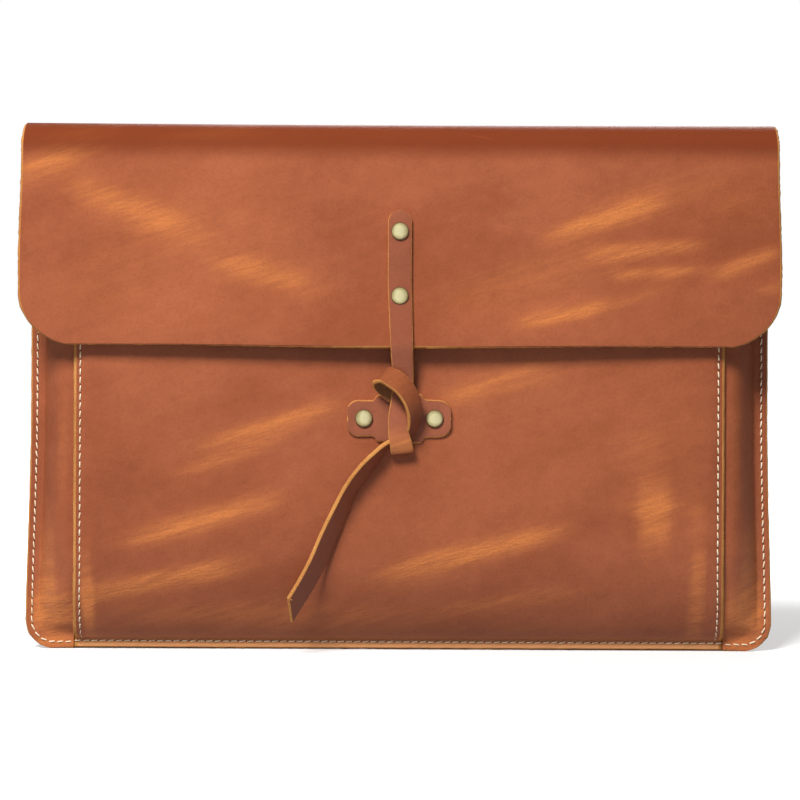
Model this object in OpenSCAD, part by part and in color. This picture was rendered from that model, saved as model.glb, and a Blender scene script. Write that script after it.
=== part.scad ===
// Leather laptop sleeve: a gusseted pocket closed by a long flap that rolls over the top,
// with a riveted strap on the flap that ties round a riveted keeper tab on the front.
// X is the width, -Y is the front, +Z is up. Millimetres.
// Depths are counted forward from the back face, and y_of(depth) turns one into a Y place.

/* [Leather] */
// Thickness of every piece of leather
leather_t = 1.8; // [1.4:0.1:2.2]

/* [Pocket] */
// Overall height from the bottom seam to the top of the rolled fold
total_h = 236; // [225:1:250]
// Width of the back panel over most of its height
body_w = 333.6; // [325:0.2:345]
// Width of the back panel at its bottom, where it flares
base_w = 338; // [336:0.5:350]
// Radius of the bottom corners
corner_r = 13; // [10:0.5:16]
// Width of the front panel between its cut edges
front_w = 288.4; // [280:0.2:292]
// Clear depth of the pocket, from the back panel to the front panel
pocket_depth = 18.4; // [16:0.2:20]
// Height over which the front panel rises from the bottom seam to its full depth
rise_h = 45; // [35:1:60]

/* [Flap] */
// Width of the flap at its lower edge
flap_w = 337; // [334:0.5:345]
// Width of the flap at the fold
fold_w = 334.4; // [330:0.2:340]
// Height of the flap's lower edge above the bottom seam
flap_low = 135.6; // [128:0.2:140]
// Radius of the flap's lower corners
flap_r = 25; // [20:1:30]
// Air between the front panel and the flap
flap_gap = 3; // [2:0.2:4]

/* [Strap] */
// Width of the strap
strap_w = 10.8; // [9:0.2:12]
// Height of the strap's round top end
strap_top = 196.8; // [190:0.2:200]
// Heights of the two rivets that hold the strap to the flap
strap_rivets = [187.2, 158.8];
// Height at which the strap is free to swing away from the flap
swing_z = 150; // [146:0.5:152]

/* [Keeper tab] */
// Height of the keeper tab's middle
keeper_z = 104.9; // [100:0.1:110]
// Width of the keeper tab from end to end
keeper_w = 46.2; // [42:0.2:50]
// Height of its two rounded ends
keeper_end_h = 16.4; // [14:0.2:18]
// Width of the taller middle, behind which the strap is threaded
keeper_mid_w = 19.4; // [16:0.2:22]
// Height of that middle
keeper_mid_h = 21; // [18:0.2:24]
// Spacing of the two keeper rivets
keeper_pitch = 31.2; // [28:0.2:34]

/* [Rivets] */
// Diameter of the domed cap
cap_d = 7.8; // [7:0.1:9]
// Height of the domed cap
cap_h = 1.7; // [1.2:0.1:2]
// Diameter of the post
post_d = 2.8; // [2.4:0.1:3.2]
// Diameter of the flat base disc behind the leather
base_d = 7; // [6:0.1:8]

/* [Stitching] */
// Length of one stitch along the seam, hole to hole
stitch_pitch = 3.7; // [3.2:0.1:4.5]
// Thickness of the thread
thread_d = 0.6; // [0.4:0.05:0.8]
// Distance of the stitch line from the cut edge
stitch_in = 3.1; // [2.5:0.1:4]

/* [Hidden] */
$fn = 48;
t = leather_t;
back_y = 18.7;                      // Y of the back face
seam_h = 5;                         // height of the flat bottom seam margin
front_lift = 0.6;                   // the front panel's lower edge ends this far above the floor
seam_air = 0.1;                     // clearance between layers that move against each other
lap_step = 2;                       // the lap begins this far above where the front panel clears the gusset
lap_air = 0.4;                      // clearance between the front panel and the gusset's lapped margin
front_d = t + pocket_depth;         // depth of the front panel's inner face
flap_d = front_d + t + flap_gap;    // depth of the flap's inner face
fold_r = flap_d / 2;                // radius of the fold at the middle of the leather
fold_d = t/2 + fold_r;              // depth of the fold's axis
fold_z = total_h - t/2 - fold_r;    // height of the fold's axis
strap_d = flap_d + t;               // depth of the strap's inner face
keeper_d = front_d + t;             // depth of the keeper tab's inner face
flare_h = 110;                      // height over which the back panel's flare fades
margin_w = 6.4;                     // width of the flat seam margin at the sides
lap_w = 6;                          // overlap of the front panel on the gusset
knot_d = keeper_d + t + 0.6;        // depth at which the knot begins, just clear of the keeper
knot_t = 13;                        // depth of the knot
hole_d = post_d + 0.2;              // punched hole for a rivet post
tail_top = [-6, 94];                // X and Z of the tail where it leaves the knot
tail_end = [-47.5, 14];             // X and Z of the tail's cut end
tail_bow = 7;                       // how far the tail bows up and outwards
tail_w = 9.6;                       // width of the tail, which lies on its edge

cognac = [0.66, 0.35, 0.2];
dark_cognac = [0.55, 0.26, 0.15];
antique_brass = [0.78, 0.74, 0.55];
cream = [0.93, 0.85, 0.7];

function y_of(depth) = back_y - depth;
function smooth(u) = let (v = min(1, max(0, u))) v * v * (3 - 2 * v);

// Half width of the back panel at a height, flared towards the bottom and rounded at the corner.
function half_plain(z) = body_w/2 + (base_w - body_w)/2 * (1 - smooth(z / flare_h));
function half_w(z) = z >= corner_r ? half_plain(z)
    : half_plain(z) - corner_r + sqrt(max(0, pow(corner_r, 2) - pow(corner_r - z, 2)));

// Depth of the front panel's inner face: flat on the back panel in the seam, then a swelling rise.
function front_in(z) = z <= seam_h ? t + seam_air
    : t + seam_air + (pocket_depth - seam_air) * pow(sin(90 * min(1, (z - seam_h) / rise_h)), 0.6);

// Heights at which the panels bend, closest together where the front panel rises fastest.
corner_zs = [0.02, 0.4, 1.4, 3, seam_h];
rise_zs = [for (i = [1:9]) seam_h + rise_h * pow(i / 9, 1.5)];
bend_zs = concat(corner_zs, rise_zs, [90, 140, 180, fold_z]);

// Flat leather in the XZ plane, its outer face at the given depth plus the thickness.
module sheet_at(depth, thick = t) {
    translate([0, y_of(depth), 0])
        rotate([90, 0, 0])
            linear_extrude(thick)
                children();
}

module round_rect(w, h, r) {
    square([w - 2*r, h], center = true);
    square([w, h - 2*r], center = true);
    for (x = [-1, 1], z = [-1, 1])
        translate([x * (w/2 - r), z * (h/2 - r)])
            circle(r);
}

module back_panel() {
    zs = concat(corner_zs, [7.5, 10, corner_r], [for (i = [1:10]) corner_r + (fold_z - corner_r) * i / 10]);
    right = [for (z = zs) [half_w(z), z]];
    left = [for (i = [len(zs) - 1:-1:0]) [-half_w(zs[i]), zs[i]]];
    color(cognac)
        sheet_at(0)
            polygon(concat([[-half_w(0), 0], [half_w(0), 0]], right, left));
}

// Middle line of the gusset at a height: seam margin, quarter-ellipse wall, then the lapped margin.
function gusset_lapped(z) = front_in(z - lap_step) > 2*t + lap_air;
function gusset_line(z) = let (
        out_x = half_w(z),
        lapped = gusset_lapped(z),
        wall_d = lapped ? front_in(z) - lap_air - t/2 : 1.5*t,
        front_x = front_w/2 + 2.4,
        seam_x = max(front_x + 3, min(half_plain(z) - margin_w, out_x - 0.6)),
        end_x = lapped ? front_w/2 - lap_w : front_w/2 + lap_air)
    concat([[out_x, 1.5*t]],
        [for (i = [0:8]) let (a = 90 * i / 8)
            [front_x + (seam_x - front_x) * cos(a), 1.5*t + (wall_d - 1.5*t) * sin(a)]],
        [[end_x, wall_d]]);
function line_normal(line, i) = let (
        a = line[max(0, i - 1)],
        b = line[min(len(line) - 1, i + 1)],
        d = b - a)
    [-d[1], d[0]] / norm(d);
function gusset_ring(z) = let (line = gusset_line(z), n = len(line)) concat(
    [for (i = [0:n - 1]) let (p = line[i] + line_normal(line, i) * t/2) [p[0], y_of(p[1]), z]],
    [for (i = [n - 1:-1:0]) let (p = line[i] - line_normal(line, i) * t/2) [p[0], y_of(p[1]), z]]);

// Closed skin through a list of rings with the same number of points.
module loft(rings) {
    n = len(rings[0]);
    m = len(rings);
    pts = [for (ring = rings) for (p = ring) p];
    sides = [for (j = [0:m - 2], i = [0:n - 1])
        each [[j*n + i, j*n + (i + 1) % n, (j + 1)*n + i],
            [j*n + (i + 1) % n, (j + 1)*n + (i + 1) % n, (j + 1)*n + i]]];
    low = [for (i = [0:n/2 - 2]) each [[i, n - 1 - i, i + 1], [i + 1, n - 1 - i, n - 2 - i]]];
    high = [for (f = low) [for (k = [2, 1, 0]) (m - 1)*n + f[k]]];
    polyhedron(points = pts, faces = concat(sides, low, high), convexity = 6);
}

module gusset_right() {
    color(cognac)
        loft([for (z = bend_zs) gusset_ring(z)]);
}

module gusset_left() {
    mirror([1, 0, 0])
        gusset_right();
}

module front_panel() {
    zs = concat([front_lift], [for (z = bend_zs) if (z > front_lift + 0.5) z]);
    inner = [for (z = zs) [y_of(front_in(z)), z]];
    outer = [for (i = [len(zs) - 1:-1:0]) [y_of(front_in(zs[i]) + t), zs[i]]];
    color(cognac)
        difference() {
            translate([-front_w/2, 0, 0])
                rotate([90, 0, 90])
                    linear_extrude(front_w)
                        polygon(concat(inner, outer));
            for (x = [-1, 1])
                post_hole(x * keeper_pitch/2, keeper_z, front_d);
        }
}

module post_hole(x, z, depth) {
    translate([x, y_of(depth - 1), z])
        rotate([90, 0, 0])
            cylinder(d = hole_d, h = t + 2);
}

module keeper_tab() {
    color(dark_cognac)
        difference() {
            sheet_at(keeper_d)
                translate([0, keeper_z]) {
                    round_rect(keeper_w, keeper_end_h, 6.5);
                    round_rect(keeper_mid_w, keeper_mid_h, 1);
                }
            for (x = [-1, 1])
                post_hole(x * keeper_pitch/2, keeper_z, keeper_d);
        }
}

// Domed cap with its post, which goes back through two layers of leather.
module rivet_cap(x, z, depth) {
    dome_r = (pow(cap_d/2, 2) + pow(cap_h, 2)) / (2 * cap_h);
    color(antique_brass)
        translate([x, y_of(depth), z])
            rotate([90, 0, 0]) {
                intersection() {
                    cylinder(d = cap_d, h = cap_h);
                    translate([0, 0, cap_h - dome_r])
                        sphere(dome_r, $fn = 96);
                }
                translate([0, 0, -2*t - 0.8])
                    cylinder(d = post_d, h = 2*t + 0.9);
            }
}

// Flat base disc behind the leather, with the socket that the post is pressed into.
module rivet_base(x, z, depth) {
    color(antique_brass)
        translate([x, y_of(depth), z])
            rotate([-90, 0, 0])
                difference() {
                    cylinder(d = base_d, h = 1.1);
                    translate([0, 0, -0.1])
                        cylinder(d = post_d, h = 0.9);
                }
}

module keeper_rivet_cap_left() { rivet_cap(-keeper_pitch/2, keeper_z, keeper_d + t); }
module keeper_rivet_cap_right() { rivet_cap(keeper_pitch/2, keeper_z, keeper_d + t); }
module keeper_rivet_base_left() { rivet_base(-keeper_pitch/2, keeper_z, front_d); }
module keeper_rivet_base_right() { rivet_base(keeper_pitch/2, keeper_z, front_d); }
module flap_rivet_cap_upper() { rivet_cap(0, strap_rivets[0], strap_d + t); }
module flap_rivet_cap_lower() { rivet_cap(0, strap_rivets[1], strap_d + t); }
module flap_rivet_base_upper() { rivet_base(0, strap_rivets[0], flap_d); }
module flap_rivet_base_lower() { rivet_base(0, strap_rivets[1], flap_d); }

// One stitch on a front face: along the seam by angle in the XZ plane, tilted back by slope.
module stitch(x, z, depth, along = 90, slope = 0) {
    long = 0.78 * stitch_pitch;
    translate([x, y_of(depth), z])
        rotate([slope, 0, 0])
            rotate([0, -along, 0])
                translate([-long/2, -thread_d, -thread_d/2])
                    cube([long, thread_d, thread_d]);
}

// Side seam: down the margin, round the corner and in to the front panel's edge.
module side_thread_right() {
    face = 2*t + seam_air;
    side_n = floor((fold_z - 2 - corner_r) / stitch_pitch);
    turn_r = corner_r - stitch_in;
    turn_n = round(turn_r * PI/2 / stitch_pitch);
    turn_x = half_plain(corner_r) - corner_r;
    foot_n = floor((turn_x - front_w/2) / stitch_pitch);
    color(cream) {
        for (i = [1:side_n]) {
            z = corner_r + i * stitch_pitch;
            stitch(half_plain(z) - stitch_in, z, face);
        }
        for (i = [0:turn_n - 1]) {
            a = 90 * (i + 0.5) / turn_n;
            stitch(turn_x + turn_r * cos(a), corner_r - turn_r * sin(a), face, along = 90 - a);
        }
        for (i = [1:foot_n])
            stitch(turn_x - (i - 0.5) * stitch_pitch, stitch_in, face, along = 0);
    }
}

module side_thread_left() {
    mirror([1, 0, 0])
        side_thread_right();
}

module bottom_thread() {
    n = floor((front_w - 4) / stitch_pitch);
    color(cream)
        for (i = [0:n - 1])
            stitch((i - (n - 1)/2) * stitch_pitch, front_lift + stitch_in, 2*t + seam_air, along = 0);
}

// Seam that sews the front panel's edge to the gusset, following the panel's rise.
module front_thread_right() {
    first_z = seam_h + 2;
    n = floor((fold_z - 2 - first_z) / stitch_pitch);
    reach = 0.39 * stitch_pitch;
    color(cream)
        for (i = [0:n - 1]) {
            z = first_z + i * stitch_pitch;
            lean = atan2(front_in(z + reach) - front_in(z - reach), 2 * reach);
            stitch(front_w/2 - stitch_in, z, front_in(z) + t + 0.1 + 0.2 * sin(lean), slope = lean);
        }
}

module front_thread_left() {
    mirror([1, 0, 0])
        front_thread_right();
}

// Leather rolled over the top, from the back panel to the flap.
module flap_fold() {
    color(dark_cognac)
        translate([-fold_w/2, y_of(fold_d), fold_z])
            rotate([90, 0, 90])
                linear_extrude(fold_w)
                    difference() {
                        circle(fold_r + t/2, $fn = 96);
                        circle(fold_r - t/2, $fn = 96);
                        translate([-2 * fold_r, -4 * fold_r])
                            square([4 * fold_r, 4 * fold_r]);
                    }
}

module flap_panel() {
    corner = [for (i = [0:10]) let (a = 90 * i / 10)
        [flap_w/2 - flap_r + flap_r * sin(a), flap_low + flap_r - flap_r * cos(a)]];
    right = concat(corner, [[fold_w/2, fold_z]]);
    left = [for (i = [len(right) - 1:-1:0]) [-right[i][0], right[i][1]]];
    color(cognac)
        difference() {
            sheet_at(flap_d)
                polygon(concat(right, left));
            for (z = strap_rivets)
                post_hole(0, z, flap_d);
        }
}

module strap_upper() {
    color(dark_cognac)
        difference() {
            sheet_at(strap_d) {
                translate([0, strap_top - strap_w/2])
                    circle(d = strap_w);
                translate([-strap_w/2, swing_z])
                    square([strap_w, strap_top - strap_w/2 - swing_z]);
            }
            for (z = strap_rivets)
                post_hole(0, z, strap_d);
        }
}

// Free end of the strap: the run off the flap, the knot over the keeper, and the hanging tail.
function tail_point(u) = let (
        along = tail_end - tail_top,
        side = [along[1], -along[0]] / norm(along))
    tail_top + along * u + side * tail_bow * sin(180 * u);
module tail_outline() {
    ups = [for (i = [0:12]) i / 12];
    outer = [for (u = ups) tail_point(u)];
    inner = [for (i = [len(ups) - 1:-1:0]) tail_point(ups[i]) + [t, -0.3]];
    polygon(concat(outer, inner));
}
module strap_tie() {
    run_low = keeper_z + keeper_mid_h/2 + 3;
    color(dark_cognac) {
        sheet_at(strap_d)
            translate([-strap_w/2 + 0.3, run_low])
                square([strap_w, swing_z - 0.3 - run_low]);
        sheet_at(knot_d, knot_t)
            translate([0, keeper_z + 5])
                round_rect(19.6, 33, 6);
        sheet_at(knot_d, tail_w)
            tail_outline();
    }
}

back_panel();
gusset_left();
gusset_right();
side_thread_left();
side_thread_right();
front_panel();
bottom_thread();
front_thread_left();
front_thread_right();
keeper_tab();
keeper_rivet_cap_left();
keeper_rivet_base_left();
keeper_rivet_cap_right();
keeper_rivet_base_right();
flap_fold();
flap_panel();
strap_upper();
flap_rivet_cap_upper();
flap_rivet_base_upper();
flap_rivet_cap_lower();
flap_rivet_base_lower();
strap_tie();
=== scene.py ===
# %% [markdown]
# # A leather laptop sleeve with a rolled flap and a knotted strap
# The sleeve is cut from waxed leather about 1.8 mm thick. A back hide runs up, rolls over the top and
# hangs down the front as the flap. A front panel is sewn to it along the bottom and joined at each side
# by a gusset. A riveted strap is knotted over a riveted keeper tab.
# The packed model gives every place and size, so the first step loads it and keeps its box.
# %% Load the frame
import math
import bpy
import numpy as np
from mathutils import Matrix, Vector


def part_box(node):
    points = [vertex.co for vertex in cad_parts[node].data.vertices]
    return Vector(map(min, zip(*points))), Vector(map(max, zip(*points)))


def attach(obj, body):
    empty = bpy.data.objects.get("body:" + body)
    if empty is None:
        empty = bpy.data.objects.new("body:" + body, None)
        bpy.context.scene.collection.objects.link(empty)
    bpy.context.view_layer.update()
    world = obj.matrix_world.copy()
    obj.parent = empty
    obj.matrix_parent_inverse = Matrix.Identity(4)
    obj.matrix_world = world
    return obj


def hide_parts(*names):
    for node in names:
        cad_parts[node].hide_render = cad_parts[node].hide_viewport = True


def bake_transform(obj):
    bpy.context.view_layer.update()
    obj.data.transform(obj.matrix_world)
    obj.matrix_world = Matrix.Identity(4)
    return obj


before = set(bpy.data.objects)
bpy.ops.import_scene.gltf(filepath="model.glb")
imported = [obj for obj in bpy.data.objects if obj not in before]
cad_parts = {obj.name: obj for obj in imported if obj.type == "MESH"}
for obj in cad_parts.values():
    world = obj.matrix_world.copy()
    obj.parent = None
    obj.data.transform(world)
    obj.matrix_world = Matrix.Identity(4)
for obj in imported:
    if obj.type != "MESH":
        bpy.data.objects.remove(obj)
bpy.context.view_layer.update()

# %% [markdown]
# ## Sizes
# Leatherwork is easiest to think of from the back face forward: how deep in the sleeve does each layer
# lie? So places are written as X, depth and Z, and one helper turns depth into Y. The sizes could be
# typed in again, but read from the packed model they can't drift away from it.
# %% Read the driving sizes from the frame
MM = 0.001
back_lo, back_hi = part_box("back_panel")
front_lo, front_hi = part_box("front_panel")
fold_lo, fold_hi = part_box("flap_fold")
flap_lo, flap_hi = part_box("flap_panel")
keeper_lo, keeper_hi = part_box("keeper_tab")
strap_lo, strap_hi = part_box("strap_upper")
back_y = back_hi.y
hide = back_hi.y - back_lo.y

def depth_of(y):
    """Depth counted forward from the back face: the back face's Y less y."""
    return back_y - y

def place(x, depth, z):
    """Rows of X, Y, Z from X, depth and Z, spread to one common shape. Y = back face less depth."""
    x, depth, z = np.broadcast_arrays(x, depth, z)
    return np.stack([x, back_y - depth, z], axis=-1).astype(float)

front_face = depth_of(front_lo.y)
flap_face = depth_of(flap_lo.y)
fold_axis = depth_of((fold_lo.y + fold_hi.y) / 2)
fold_z = fold_lo.z
fold_reach = (fold_hi.y - fold_lo.y) / 2
print("front face %.1f mm, flap face %.1f mm deep" % (front_face / MM, flap_face / MM))

# %% [markdown]
# ## Camera
# The camera stands level with the lower middle of the sleeve, about 0.85 m away, and turned a quarter
# of a degree, as a hand-set camera often is. A wide lens close by would spread the sides, so a long one
# is used. Lens = sensor width x distance / width seen at that distance.
# %% Camera
scene = bpy.context.scene
scene.view_settings.view_transform = "Standard"
scene.view_settings.look = "None"
camera_far = 0.850
seen_width = 0.3636
camera = bpy.data.objects.new("camera", bpy.data.cameras.new("camera"))
scene.collection.objects.link(camera)
camera.data.sensor_width = 36
camera.data.lens = 36 * camera_far / seen_width
camera.location = (0.0003, back_y - camera_far, 0.1131)
camera.rotation_euler = (math.radians(90), math.radians(-0.27), 0)
scene.camera = camera
print("lens %.0f mm" % camera.data.lens)

# %% [markdown]
# ## Light
# A white floor and a white world stand for the paper sweep of a product table. One large soft light
# hangs high in front and a little to the left, so that each edge throws its shadow down and to the
# right. A weak broad fill from the camera's side opens the shadows, and a third light keeps the paper
# behind the sleeve bright. The key is kept out of reflections, or it would bleach the waxed leather.
# %% Lights
def area_light(name, spot, aim, size, power):
    """A square soft light at spot. Tilt = 90 degrees plus the slope towards aim; turn = its bearing."""
    lamp = bpy.data.lights.new(name, "AREA")
    lamp.size = size
    lamp.energy = power
    thing = bpy.data.objects.new(name, lamp)
    scene.collection.objects.link(thing)
    thing.location = spot
    way = np.array(aim, float) - np.array(spot, float)
    level = math.hypot(way[0], way[1])
    thing.rotation_euler = (math.pi / 2 + math.atan2(way[2], level), 0, math.atan2(-way[0], way[1]))
    return thing

middle = (0, 0, 0.12)
key = area_light("key", (-0.42, -0.93, 1.16), middle, 0.44, 28.5)
key.visible_glossy = False
area_light("fill", (-0.30, -1.6, 0.85), middle, 1.1, 1.1)
area_light("rear", (0.2, 1.3, 0.9), middle, 1.0, 13)
print("lights:", [lamp.name for lamp in bpy.data.lights])

# %% [markdown]
# The world is two backgrounds. The camera sees plain white, and every other ray sees a dim one, so the
# backdrop stays clean while the lights alone shape the leather.
# %% World
world = bpy.data.worlds.new("white")
scene.world = world
world.use_nodes = True
sky = world.node_tree
sky_light = sky.nodes["Background"]
sky_light.inputs["Strength"].default_value = 0.08
sky_light.inputs["Color"].default_value = (1, 1, 1, 1)
sky_seen = sky.nodes.new("ShaderNodeBackground")
sky_seen.inputs["Color"].default_value = (1, 1, 1, 1)
ray = sky.nodes.new("ShaderNodeLightPath")
sky_mix = sky.nodes.new("ShaderNodeMixShader")
sky.links.new(ray.outputs["Is Camera Ray"], sky_mix.inputs["Fac"])
sky.links.new(sky_light.outputs[0], sky_mix.inputs[1])
sky.links.new(sky_seen.outputs[0], sky_mix.inputs[2])
sky.links.new(sky_mix.outputs[0], sky.nodes["World Output"].inputs["Surface"])
print("world:", world.name, "with", len(sky.nodes), "nodes")

# %% [markdown]
# ## Shader maths as Python
# A material is easier to read as a formula than as a drawing of nodes. `Wire` wraps one output socket,
# and adding or multiplying wires adds the Math nodes. Every other node comes from `Tree.node`, which
# takes the node's type, its settings and the values or wires of its sockets.
# %% A small shader language
def plug(tree, value, socket):
    """Link a wire to a socket, or set the socket's own value."""
    if isinstance(value, Wire):
        tree.links.new(value.socket, socket)
    elif isinstance(value, tuple) and socket.type == "RGBA":
        socket.default_value = (*value[:3], 1)
    else:
        socket.default_value = value

class Wire:
    """An output socket that can be used in sums."""
    def __init__(self, socket):
        self.socket = socket

    def math(self, operation, *values):
        """The wire out of a new Math node that works on these values."""
        tree = self.socket.id_data
        node = tree.nodes.new("ShaderNodeMath")
        node.operation = operation
        for value, socket in zip(values, node.inputs):
            plug(tree, value, socket)
        return Wire(node.outputs[0])

    def __add__(self, other):
        return self.math("ADD", self, other)

    def __radd__(self, other):
        return self.math("ADD", other, self)

    def __sub__(self, other):
        return self.math("SUBTRACT", self, other)

    def __rsub__(self, other):
        return self.math("SUBTRACT", other, self)

    def __mul__(self, other):
        return self.math("MULTIPLY", self, other)

    def __rmul__(self, other):
        return self.math("MULTIPLY", other, self)

    def __truediv__(self, other):
        return self.math("DIVIDE", self, other)

    def __rtruediv__(self, other):
        return self.math("DIVIDE", other, self)

    def most(self, other):
        """The larger of two wires at each spot."""
        return self.math("MAXIMUM", self, other)

    def over(self, low, high):
        """0 below low, 1 above high, and between them t squared x (3 - 2t), where t runs from 0 to 1."""
        t = ((self - low) / (high - low)).most(0)
        t = t.math("MINIMUM", t, 1)
        return t * t * (3 - 2 * t)

print("sums with wires:", [word for word in vars(Wire) if word.startswith("__r")])

# %% [markdown]
# `Tree` holds a material's nodes. Its constants go straight onto the shader's sockets, and only what
# changes over the surface is linked. Patterns read Object coordinates, so they stay put on the piece.
# %% Materials as trees
class Tree:
    """The node tree of a new material, with its Principled shader."""
    def __init__(self, name, **constants):
        self.material = bpy.data.materials.new(name)
        self.material.use_nodes = True
        self.nodes = self.material.node_tree
        self.shader = self.nodes.nodes["Principled BSDF"]
        self.paint(**constants)
        self.spot = self.node("ShaderNodeTexCoord", out="Object")

    def node(self, kind, settings=(), out=0, sockets=()):
        """Any node: its settings are set first, then its sockets are set or linked."""
        made = self.nodes.nodes.new(kind)
        for key, value in dict(settings).items():
            setattr(made, key, value)
        for key, value in dict(sockets).items():
            plug(self.nodes, value, made.inputs[key])
        return Wire(made.outputs[out])

    def noise(self, scale, detail=2, at=None, rough=0.5):
        """Cloudy noise, from 0 to 1."""
        return self.node("ShaderNodeTexNoise", sockets={
            "Vector": at or self.spot, "Scale": scale, "Detail": detail, "Roughness": rough})

    def stretched(self, turn, size, move=(0, 0, 0)):
        """Coordinates for a pattern that runs in streaks of this size, rising to the right by turn."""
        return self.node("ShaderNodeMapping", {"vector_type": "TEXTURE"}, sockets={
            "Vector": self.spot, "Rotation": (0, math.radians(-turn), 0), "Scale": size, "Location": move})

    def mix(self, share, a, b):
        """Colour a where share is 0, colour b where it is 1."""
        return self.node("ShaderNodeMix", {"data_type": "RGBA"}, out=2, sockets={0: share, 6: a, 7: b})

    def attribute(self, name):
        """A value that the mesh carries, and 0 where it carries none."""
        return self.node("ShaderNodeAttribute", {"attribute_name": name}, out="Fac")

    def bump(self, height, distance, strength=1.0, normal=None):
        """The normal tilted by the slope of height x distance, on top of another normal if one is given."""
        sockets = {"Height": height, "Distance": distance, "Strength": strength}
        if normal:
            sockets["Normal"] = normal
        return self.node("ShaderNodeBump", sockets=sockets)

    def paint(self, **inputs):
        """Set or feed the shader's inputs and hand the material over."""
        for key, value in inputs.items():
            plug(self.nodes, value, self.shader.inputs[key.replace("_", " ")])
        return self.material

print("nodes by name:", [word for word in vars(Tree) if not word.startswith("_")])

# %% [markdown]
# ## The floor's white
# The floor glows white to the camera only, and takes the rest from the lights, so it goes grey just
# where the sleeve keeps the light away and yet throws little extra light up at the leather. Far from
# the sleeve the glow reaches full white, which hides the floor's own edge.
# %% Floor
bpy.ops.mesh.primitive_plane_add(size=12, location=(0, 0, 0))
floor = bpy.context.object
floor.name = "floor"
paper = Tree("white_paper", Roughness=0.9, Emission_Strength=1.0)
seen = paper.node("ShaderNodeLightPath", out="Is Camera Ray")
away = paper.node("ShaderNodeVectorMath", {"operation": "LENGTH"}, out="Value", sockets={0: paper.spot})
glow = paper.mix(away.over(0.25, 0.55), (0.30, 0.30, 0.30), (1, 1, 1))
floor.data.materials.append(paper.paint(
    Base_Color=paper.mix(seen, (0.37, 0.37, 0.37), (0.8, 0.8, 0.8)),
    Emission_Color=paper.mix(seen, (0.1, 0.1, 0.1), glow)))
print("floor:", paper.material.name)

# %% [markdown]
# ## Waxed pull-up leather
# This leather is dyed through and filled with oil and wax. Where it has been bent the wax moves away
# and a lighter orange streak shows: that is the pull-up. A painted texture could show it, but would
# blur close up, so the colour is worked out at each spot instead. The mesh carries a `pull` value that
# says where the hide was bent and a `rim` value that rises towards a cut edge. A `dark` value paints shade
# over the
# roll's top band and onto the strap's loop and tail. A last value paints the front panel's bottom margin
# pale:
# partly painted light where the swell above keeps the lamps off it, and partly leather worn paler there.
# Noise stretched along one slanting direction breaks the marks into fine streaks.
# %% Waxed leather
streak_turn = 19

def shaded(colour, *shares):
    """A colour tuple times one share for all three parts, or times three."""
    return tuple(c * k for c, k in zip(colour, shares * 3 if len(shares) == 1 else shares))

def leather(name, deep, light, pulled, gloss=0.47):
    """Colour = deep to light by cloudy noises, then to pulled by the pull value times streaks.
    Bump = pores and grain, fine creases inside the marks, and a slow unevenness of the hide."""
    t = Tree(name, Specular_IOR_Level=0.36)
    cloud = t.noise(9, 3, rough=0.55)
    patch = t.noise(1, 4, t.stretched(streak_turn, (0.045, 0.03, 0.019)), 0.6)
    fine = t.noise(170, 5, rough=0.7)
    streaks = t.noise(1, 5, t.stretched(streak_turn, (0.026, 0.01, 0.0030)), 0.65)
    hair = t.noise(1, 2, t.stretched(streak_turn - 31, (0.035, 0.02, 0.0006), (3, 0, 1)), 0.5)
    scuff = t.noise(1, 2, t.stretched(streak_turn + 52, (0.02, 0.02, 0.0005), (1, 0, 5)), 0.5)
    crease = t.noise(1, 3, t.stretched(streak_turn - 6, (0.005, 0.01, 0.0008)), 0.6)
    pores = t.node("ShaderNodeTexVoronoi", {"feature": "F1"}, out="Distance",
                   sockets={"Vector": t.spot, "Scale": 900, "Randomness": 1.0})
    pull = t.attribute("pull")
    tone = (cloud * 0.75 + patch * 0.36 + fine * 0.26 - 0.16).over(0.25, 0.80)
    worn = (pull * (streaks.over(0.25, 0.75) * 0.55 + 0.48)).over(0.0, 1.1)
    scratches = (hair.over(0.70, 0.78) * 0.14).most(scuff.over(0.72, 0.8) * 0.12)
    colour = t.mix(worn, t.mix(tone, deep, light), pulled)
    # Painted shade: the dark value darkens the roll's top band and the strap's loop and tail towards deep x
    # (0.66, 0.50, 0.40).
    colour = t.mix(t.attribute("dark"), colour, shaded(deep, 0.66, 0.50, 0.40))
    colour = t.mix(pores.over(0.45, 0.75) * 0.10, colour, shaded(deep, 0.5))
    colour = t.mix(scratches, colour, pulled)
    colour = t.mix(t.attribute("rim") * 0.10, colour, shaded(deep, 0.8))
    # Painted light with wear: this mix turns the bottom margin towards pale tan, standing in for front light
    # that the swell above keeps off, on leather also worn paler there.
    colour = t.mix(t.attribute("chafed") * (fine * 0.8 + 0.6).over(0.0, 1.0), colour, (0.93, 0.45, 0.19))
    normal = t.bump(pores * -0.5 + fine * 0.9, 0.0002, 0.55)
    normal = t.bump(crease * pull, 0.0006, 0.6, normal)
    normal = t.bump(patch, 0.0008, 0.3, normal)
    sheen = gloss + (fine - 0.5) * 0.15 + (cloud - 0.5) * 0.18 - worn * 0.06
    return t.paint(Base_Color=colour, Roughness=sheen, Normal=normal)

panel_leather = leather("waxed_leather", (0.275, 0.068, 0.026), (0.44, 0.127, 0.054), (0.70, 0.225, 0.062))
strap_leather = leather("waxed_strap", (0.27, 0.076, 0.037), (0.39, 0.122, 0.062), (0.66, 0.22, 0.062), 0.42)
print("grain sides:", panel_leather.name, strap_leather.name)

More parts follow.
